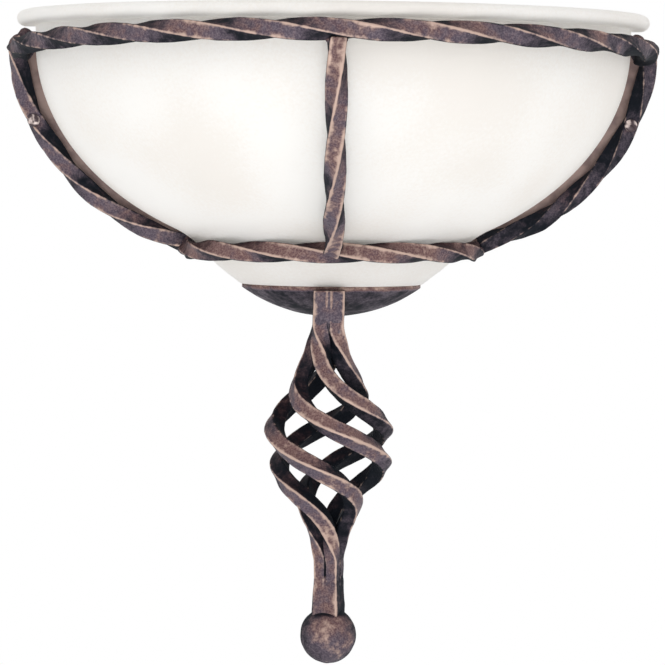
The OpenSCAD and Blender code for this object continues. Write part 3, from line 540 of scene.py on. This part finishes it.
# hand and pitch: which way and in how many mm the bar turns once round; ridgesAt: heights where a
# ridge faces the viewer; endR: radius of the lower end; wander: (height, mm outward) off a true curve
tipR = light["lowerR"] + light["bar"] / 2 - light["weld"]
ribs = {
    "left": {
        "node": "left_rib", "side": -1, "hand": -1, "pitch": 134, "ridgesAt": (23, -12.7, -37.2, -56.8),
        "endR": tipR - 0.4, "warm": 0.2, "rubbed": 0.85,
        "wander": ((41, 0.8), (28, -0.9), (5, -0.6), (-15, -1.3), (-28, -0.6), (-40, 0.2), (-58, -0.6),
                   (-67, -2)),
    },
    "right": {
        "node": "right_rib", "side": 1, "hand": -1, "pitch": 134, "ridgesAt": (17.5, -14.7, -38.3, -53.5),
        # less wax than the left rib: painted shade, the right side taking less light
        "endR": tipR - 0.4, "warm": 0.2, "rubbed": 0.55,
        "wander": ((41, 0.6), (28, 0), (14, -0.6), (0, -0.2), (-25, 0.3), (-52, 0.6), (-60, -1.4),
                   (-67, -2.6)),
    },
    "centre": {
        "node": "centre_rib", "side": 0, "hand": 1, "pitch": 166, "ridgesAt": (6.1,),
        "endR": tipR, "warm": 0.6, "rubbed": 1.1, "wander": ((60, 0), (-110, 0)),
    },
}
ribBar = {
    "above": 9.5, "bend": 22,           # mm, the side ribs lean in above the shoulder
    "stations": 240, "topStations": 12,
    "turnsAbove": 4, "turnsBelow": 8,   # quarter turns past the ridges that were measured
    "rubSide": 0.5, "round": 1,         # round in mm
}
spotFace = {"z": 0, "r": 3.8, "y": -19.45, "edge": 0.6}   # mm, ground flat under a screw's head
spotFace["x"] = light["ringR"] * math.sqrt(1 - (light["shoulderZ"] / light["ribHeight"]) ** 2)


# Radius and height along a rib, from its top down
def ribCurve(topZ, endR):
    shoulder, bend = light["shoulderZ"], ribBar["bend"]
    end = math.acos(endR / light["ringR"])
    start = math.asin(max(shoulder - topZ, 0) / light["ribHeight"])
    e = np.linspace(start, end, ribBar["stations"])
    curve = np.stack([light["ringR"] * np.cos(e), shoulder - light["ribHeight"] * np.sin(e)], axis=1)
    rise = max(topZ - shoulder, 0) / bend
    if rise > 0:
        g = np.linspace(math.asin(rise), 0, ribBar["topStations"])[:-1]
        upper = [light["ringR"] - bend * (1 - np.cos(g)), shoulder + bend * np.sin(g)]
        curve = np.concatenate([np.stack(upper, axis=1), curve])
    return curve


# The outer corner of a side rib's top is ground round, and the screw's seat is ground flat
def dressRib(points, side):
    x, y, z = side * points[..., 0], points[..., 1], points[..., 2]
    r = light["bar"]
    cx, cz = light["ringR"] - r / 2, light["ringZ"] + ribBar["above"] - r
    away = np.hypot(x - cx, z - cz)
    corner = (x > cx) & (z > cz) & (away > r)
    pull = np.where(corner, r / np.maximum(away, r / 2), 1)
    x, z = np.where(corner, cx + (x - cx) * pull, x), np.where(corner, cz + (z - cz) * pull, z)
    away = np.hypot(x - spotFace["x"], z - spotFace["z"])
    flat = smoothStep((spotFace["r"] + spotFace["edge"] - away) / spotFace["edge"])
    y = np.where(y < spotFace["y"], y + (spotFace["y"] - y) * flat, y)
    return np.stack([side * x, y, z], axis=-1)


def makeRib(which):
    rib = ribs[which]
    side, above, below = rib["side"], ribBar["turnsAbove"], ribBar["turnsBelow"]
    topZ = light["ringZ"] + (ribBar["above"] if side else light["weld"] - light["bar"] / 2)
    curve = ribCurve(topZ, rib["endR"])
    s = np.concatenate([[0], np.cumsum(np.linalg.norm(np.diff(curve, axis=0), axis=1))])
    atRidge = np.interp(-np.array(rib["ridgesAt"]), -curve[:, 1], s)
    before = atRidge[0] + rib["pitch"] / 4 * np.arange(-above, 0)
    after = atRidge[-1] + rib["pitch"] / 4 * np.arange(1, below + 1)
    quarters = np.interp(s, np.concatenate([before, atRidge, after]),
                         np.arange(-above, len(atRidge) + below))
    heights, offsets = zip(*reversed(rib["wander"]))
    along = unit(np.gradient(curve, axis=0))
    sideways = np.stack([-along[:, 1], along[:, 0]], axis=1)
    curve = curve + sideways * np.interp(curve[:, 1], heights, offsets)[:, None]
    r, z, depth = curve[:, 0], curve[:, 1], np.full(len(curve), -float(light["standoff"]))
    if side:
        path = np.stack([side * r, depth, z], axis=1)
        towards = np.tile([float(side), 0, 0], (len(curve), 1))
        # the side ribs' wax leans to the front: wax, and painted light on what faces the front
        outward = np.tile([side * ribBar["rubSide"], -1.0, 0], (len(curve), 1)) * rib["rubbed"]
    else:
        path = np.stack([np.zeros_like(r), depth - r, z], axis=1)
        towards = np.tile([0, -1.0, 0], (len(curve), 1))
        outward = np.stack([0 * r, along[:, 1], along[:, 0]], axis=1) * rib["rubbed"]
    line = {
        "path": path, "towards": towards, "outward": outward, "widths": cageBar["side"],
        "turns": 45 + rib["hand"] * 90 * quarters, "round": (ribBar["round"], ribBar["round"]),
    }
    dress = (lambda points: dressRib(points, side)) if side else None
    sweep(which + "Rib", line, cageBar, rib["warm"], rib["node"], dress)


for which in rings:
    makeRing(which)
for which in ribs:
    makeRib(which)
print("cage bars twisted")

beads = {   # centre and radii in mm, of the weld and the hammered knob where bars meet
    "leftTopBead": ((-167.4, -16, 45.2), (4.4, 3.2, 4.8)),
    "rightTopBead": ((165.6, -16, 45), (4.4, 3.4, 4.6)),
    "leftKnob": ((-169.6, -15.4, 39.6), (7.3, 5.2, 7.6)),
    "rightKnob": ((169.6, -15.4, 39.6), (7.2, 5.2, 6.8)),
    "leftLowBead": ((-79.6, -16.5, -67.6), (5, 4.8, 5)),
    "rightLowBead": ((78.2, -16.5, -68.4), (5.6, 4.8, 4.6)),
    "topCrossBead": ((0, -186.5, 31.6), (5.2, 3.2, 2.6)),
    "lowCrossBead": ((0, -95.6, -66.6), (4.6, 3.6, 4.4)),
}
beadStyle = {
    "rows": 16, "size": 3, "depth": 0.45,                         # size and depth of its dents in mm
    # more wax and painted light on what faces the front
    "ridge": 0.25, "rubbed": 0.25, "frontRubAndLight": 0.35, "warm": 0.6,
}


def beadMarks(directions):
    outer = beadStyle["rubbed"] - beadStyle["frontRubAndLight"] * directions[:, 1]
    return {"ridge": beadStyle["ridge"], "outer": outer, "warm": beadStyle["warm"]}


for name, (centre, radii) in beads.items():
    makeLump(name, centre, radii, beadStyle, beadMarks)
print("weld beads laid")


# Dish: a spun half dish with a thin upright rim, cut off behind the cage
dish = {
    "rows": 26, "around": 128, "lip": 0.3,               # mm that the edge stands up in its middle
    "rimUnder": 1.2, "rimOver": 0.8,                     # mm, where the rub of the rim fades
    "dent": 12, "hammer": 0.15,                          # mm
    "lipRidge": 0.5, "warm": 0.25, "rimWarm": 0.6,
    # the rim band is rubbed lighter, and lighter still where it faces the front: painted light
    "rubbed": 0.3, "rimRub": 0.3, "rimFrontLight": 0.35,
}


def dishOutline(inset):
    r, depth = light["dishR"] - inset, light["dishDepth"] - inset
    h = depth - light["dishRim"]
    big = (r * r + h * h) / (2 * h)
    a = np.linspace(math.asin(r / big), 0, dish["rows"])
    low = light["dishZ"] - depth + big
    return [(r, light["dishZ"])] + [(big * math.sin(g), low - big * math.cos(g)) for g in a[:-1]], low - big


def makeDish():
    outside, bottom = dishOutline(0)
    inside, pit = dishOutline(light["dishSheet"])
    lip = (light["dishR"] - light["dishSheet"] / 2, light["dishZ"] + dish["lip"])
    outline = outside[::-1] + [lip] + inside
    around, back = dish["around"], -light["standoff"]
    shell = bmesh.new()
    grid = []
    for r, z in outline:
        turns = [2 * math.pi * j / around for j in range(around)]
        grid.append([shell.verts.new((r * math.cos(a), back - r * math.sin(a), z)) for a in turns])
    for i in range(len(grid) - 1):
        for j in range(around):
            k = (j + 1) % around
            shell.faces.new((grid[i][j], grid[i][k], grid[i + 1][k], grid[i + 1][j]))
    under = shell.verts.new((0, back, bottom))
    floor = shell.verts.new((0, back, pit))
    for j in range(around):
        shell.faces.new((under, grid[0][(j + 1) % around], grid[0][j]))
        shell.faces.new((floor, grid[-1][j], grid[-1][(j + 1) % around]))
    cut = bmesh.ops.bisect_plane(shell, geom=shell.verts[:] + shell.edges[:] + shell.faces[:],
                                 plane_co=(0, -light["frameFront"], 0), plane_no=(0, 1, 0), clear_outer=True)
    bmesh.ops.holes_fill(shell, edges=[e for e in cut["geom_cut"] if isinstance(e, bmesh.types.BMEdge)])
    bmesh.ops.recalc_face_normals(shell, faces=shell.faces[:])
    shell.verts.index_update()
    points = np.array([v.co for v in shell.verts])
    faces = [tuple(v.index for v in face.verts) for face in shell.faces]
    shell.free()
    height = points[:, 2] - light["dishZ"]
    rim = smoothStep((height + light["dishRim"] + dish["rimUnder"]) / dish["rimOver"])
    away = unit(points[:, :2] + [0, light["standoff"]] + 1e-6)
    facing = np.clip(-away[:, 1], 0, 1)
    # a lighter band round the rim: rubbed wax, and painted light from the front where the rim faces it
    marks = {"ridge": np.where(height > -dish["lip"], dish["lipRidge"], 0),
             "outer": dish["rubbed"] + rim * (dish["rimRub"] + dish["rimFrontLight"] * facing),
             "warm": dish["warm"] + dish["rimWarm"] * rim}
    points = points + hammered(points, dish["dent"])[:, None] * [0, 0, dish["hammer"]]
    makeIron("dish", points, faces, marks, "bottom_dish")


makeDish()
print("dish spun")


# Basket: four strands that are one square stem at the top, open as they turn, and end in the neck;
# along a strand u goes from -1 at the stem's foot to 1 at the neck
basket = {
    "y": -64, "z": -169.9, "height": 125, "radius": 30.1,           # its open part
    "full": 1.32,                                                   # power of the swell
    "turn": 341, "stray": (-8, 2.5, 8, -2.5),                       # degrees, in all and of each strand
    "steady": 0.35,                                                 # share of the turn that is even along u
    "taperFrom": 0.5,                                               # u from which a strand gets slimmer
    "rollMiddle": 0.5, "rollEnd": 0.72,                             # u between which its roll stands still
    "neckTop": -243.7, "neck": 13, "neckHeight": 13.6,
    "hang": 0.007, "left": 1.5, "straight": 11.3,                   # it hangs aslant, but for its end
    "bow": 1.3, "bowAt": -128, "bowLength": 22,                     # the stem's foot bows to the left
    "gap": 0.02,                                                    # between strands that lie together
    "inNeck": 2, "slimmer": 0.45, "slimOver": 6,                    # how they end in the neck
    "stations": 200, "endStations": 8, "round": (0.3, 0.5),
    # the front share is wax and painted light on what faces the front
    "rubOut": 0.66, "frontRubAndLight": 0.52, "warm": 0.4,
}
strandBar = {"side": 8.2, "corner": 1.1, "sink": 0.25, "hammer": 0.25, "dent": 8, "step": 1.3}
neckBar = {
    "side": 13, "corner": 1.1, "sink": 0.2, "hammer": 0.3, "dent": 7, "step": 1.2,
    "widths": ((-22, 14.4), (-13, 14.2), (-1, 13.2), (4, 12.3)),    # mm above its top, width
    "past": 4,                                                      # mm into the strands and the ball
    "stations": 24, "round": 1, "rubbed": 0.95, "warm": 0.5,
}
stemBar = {
    "side": 16.6, "corner": 1.8, "sink": 0.15, "hammer": 0.3, "dent": 9, "step": 1.2,
    "past": 4.5, "slimmer": 1.0, "slimFrom": 4, "slimOver": 8,      # mm round its foot, where it ends
    "stations": 24, "round": 1, "rubbed": 0.8, "warm": 0.05,
}
stemTop = light["dishZ"] - light["dishRim"]
stemFoot = basket["z"] + basket["height"] / 2
cope = 1   # mm that the stem's top goes into the dish


def basketX(z):
    hang = basket["hang"] * (stemTop - np.maximum(z, basket["neckTop"] + basket["straight"]))
    return hang - basket["left"] - basket["bow"] * np.exp(-((z - basket["bowAt"]) / basket["bowLength"]) ** 2)


def swell(u):
    return ((1 + np.cos(np.pi * u)) / 2) ** basket["full"]


def strandSide(u):
    slim = smoothStep((u - basket["taperFrom"]) / (1 - basket["taperFrom"]))
    return strandBar["side"] + (basket["neck"] / 2 - strandBar["side"]) * slim


def strandAngle(u, i):
    half = basket["turn"] / 2
    return (45 + 90 * i + basket["stray"][i] * swell(u)
            + half * (1 + (1 - basket["steady"]) * np.sin(np.pi / 2 * u) + basket["steady"] * u))


def strandRadius(u):
    return (strandSide(u) / math.sqrt(2) + basket["gap"]
            + (basket["radius"] - strandBar["side"] / math.sqrt(2)) * swell(u))


def strandRoll(u):
    atEnd = smoothStep((np.abs(u) - basket["rollEnd"]) / (1 - basket["rollEnd"]))
    return 135 - 45 * np.sign(u) * (atEnd + smoothStep(np.abs(u) / basket["rollMiddle"]))


# Height of the dish's underside at a place
def dishUnder(x, y):
    r, h = light["dishR"], light["dishDepth"] - light["dishRim"]
    big = (r * r + h * h) / (2 * h)
    out = np.minimum(np.hypot(x, y + light["standoff"]), r)
    return light["dishZ"] - light["dishDepth"] + big - np.sqrt(big * big - out * out)


# The stem's upper end follows the dish that it is welded to
def copeStem(points):
    x, y, z = points[..., 0], points[..., 1], points[..., 2]
    upper = np.minimum(stemTop, dishUnder(x, y) + cope)
    share = np.clip((z - stemFoot) / (stemTop - stemFoot), 0, 1)
    z = np.where(z > stemFoot, stemFoot + share * (upper - stemFoot), z)
    return np.stack([x, y, z], axis=-1)


def makeStrand(i):
    half, ends, over = basket["height"] / 2, basket["endStations"], basket["slimOver"]
    u = np.linspace(-1, 1, basket["stations"])
    inStem = np.linspace(stemTop, stemFoot, ends + 1)[:-1]
    inNeck = np.linspace(basket["z"] - half, basket["neckTop"] - basket["inNeck"], ends + 1)[1:]
    heights = np.concatenate([inStem, basket["z"] - u * half, inNeck])
    u = np.concatenate([np.full(ends, -1.0), u, np.full(ends, 1.0)])
    a, r = np.radians(strandAngle(u, i)), strandRadius(u)
    out = np.stack([np.sin(a), -np.cos(a), np.zeros_like(a)], axis=1)
    line = {
        "path": np.stack([basketX(heights) + r * np.sin(a), basket["y"] - r * np.cos(a), heights], axis=1),
        "towards": out, "outward": basket["rubOut"] * out + [0, -basket["frontRubAndLight"], 0],
        "turns": strandRoll(u), "round": basket["round"],
        "widths": strandSide(u) - basket["slimmer"] * smoothStep((basket["neckTop"] + over - heights) / over),
    }
    sweep("strand%d" % (i + 1), line, strandBar, basket["warm"], "strand_%d" % (i + 1), copeStem)


# A square bar that stands upright in the basket's axis, of a width at each height
def makeUpright(name, z, widths, angle, style, node=None, reshape=None):
    a = math.radians(angle)
    line = {
        "path": np.stack([basketX(z), np.full_like(z, basket["y"]), z], axis=1),
        "towards": np.tile([math.sin(a), -math.cos(a), 0], (len(z), 1)),
        # only what faces the front gets the mark: wax, and painted light from the front
        "outward": np.tile([0, -style["rubbed"], 0], (len(z), 1)),
        "turns": 45, "widths": widths, "round": (style["round"], style["round"]),
    }
    sweep(name, line, style, style["warm"], node, reshape)


def makeNeck():
    top, past = basket["neckTop"], neckBar["past"]
    z = np.linspace(top + past, top - basket["neckHeight"] - past, neckBar["stations"])
    widths = np.interp(z - top, *zip(*neckBar["widths"]))
    makeUpright("neckBlock", z, widths, strandAngle(1.0, 0), neckBar, "neck_block")


# The stem's bars are welded and ground into one square bar down to where they part
def makeStemSkin():
    z = np.linspace(stemTop, stemFoot - stemBar["past"], stemBar["stations"])
    slim = stemBar["slimmer"] * smoothStep((stemFoot + stemBar["slimFrom"] - z) / stemBar["slimOver"])
    makeUpright("stemSkin", z, stemBar["side"] - slim, strandAngle(-1.0, 0), stemBar, reshape=copeStem)


ball = {
    "width": 29.8, "inset": 0.1, "size": 6, "depth": 0.22, "rows": 48,   # mm; size and depth of its dents
    "neckShadowFrom": 0.72, "neckShadowOver": 0.2,                               # a painted shadow on the ball under the neck
    # most wax where the ball faces the front, a painted highlight, and least round its rim as seen from the
    # front, painted shade
    "ridge": 0.3, "rubbed": 0.05, "frontRubAndLight": 0.75, "rubBack": 0.4, "warm": 0.35,
}


# The ball's wax mark: a painted highlight in its middle, painted shade round its rim as seen from the front, and
# a painted shadow under the neck
def ballMarks(directions):
    neckShadow = smoothStep((directions[:, 2] - ball["neckShadowFrom"]) / ball["neckShadowOver"])
    back = directions[:, 1]
    rubbed = ball["rubbed"] + np.where(back < 0, -ball["frontRubAndLight"] * back, ball["rubBack"] * back)
    return {"ridge": ball["ridge"], "outer": rubbed - neckShadow, "warm": ball["warm"]}


def makeBall():
    z = basket["neckTop"] - basket["neckHeight"] - ball["width"] / 2
    radius = ball["width"] / 2 - ball["inset"]
    makeLump("ballFinial", (basketX(z), basket["y"], z), radius, ball, ballMarks, "ball_finial")


for i in range(4):
    makeStrand(i)
makeNeck()
makeStemSkin()
makeBall()
print("basket, neck and ball made")


# Floor, world and lamps
studio = {
    "floorZ": -430, "floorR": 480, "floorSides": 96,   # mm
    "paper": "#f4f4f4", "sky": "#ffffff",
    "worldLevel": 0.91,                                # light from all round, on surfaces
    "aim": (0, -100, 0),
    "lamps": (   # place in mm, size in mm, watts, colour
        ((0, -1236, -657), 600, 5.6, "#ffffff"),
        ((-900, -900, 900), 500, 0.9, "#fffaf4"),
        ((900, -900, 900), 500, 0.5, "#f9f7ff"),
    ),
}


# The camera, metal and glass see the plain white, and surfaces are lit at worldLevel
def makeWorld():
    world = bpy.data.worlds.new("studio")
    bpy.context.scene.world = world
    world.use_nodes = True
    tree = world.node_tree
    tree.nodes.clear()
    rays = add(tree, "LightPath").outputs
    larger = {"operation": "MAXIMUM"}
    seen = add(tree, "Math", larger, {0: rays["Is Camera Ray"], 1: rays["Is Glossy Ray"]})
    seenThrough = add(tree, "Math", larger, {0: seen, 1: rays["Is Transmission Ray"]})
    level = add(tree, "MapRange", inputs={"Value": seenThrough, "To Min": studio["worldLevel"]})
    sky = add(tree, "Background", inputs={"Color": linear(studio["sky"]), "Strength": level})
    add(tree, "OutputWorld", inputs={"Surface": sky})


# Plain seamless paper, flat white with the light's shadow on it
def makeFloor():
    count, r, z = studio["floorSides"], studio["floorR"] * mm, studio["floorZ"] * mm
    turns = [2 * math.pi * i / count for i in range(count)]
    points = [(0, 0, z)] + [(r * math.cos(a), r * math.sin(a), z) for a in turns]
    data = bpy.data.meshes.new("floor")
    data.from_pydata(points, [], [(0, i + 1, (i + 1) % count + 1) for i in range(count)])
    material, tree = newMaterial("whitePaper")
    paper = add(tree, "BsdfDiffuse", inputs={"Color": linear(studio["paper"])})
    add(tree, "OutputMaterial", inputs={"Surface": paper})
    data.materials.append(material)
    floor = bpy.data.objects.new("floor", data)
    bpy.context.scene.collection.objects.link(floor)


def makeLamps():
    for i, (place, size, watts, colour) in enumerate(studio["lamps"]):
        data = bpy.data.lights.new("softbox%d" % (i + 1), "AREA")
        data.size, data.energy, data.color = size * mm, watts, linear(colour)[:3]
        lamp = bpy.data.objects.new(data.name, data)
        lamp.location = Vector(place) * mm
        lamp.rotation_euler = (Vector(studio["aim"]) * mm - lamp.location).to_track_quat("-Z", "Y").to_euler()
        bpy.context.scene.collection.objects.link(lamp)


makeWorld()
makeFloor()
makeLamps()
bpy.context.scene.view_settings.view_transform = "Standard"
print("studio set")
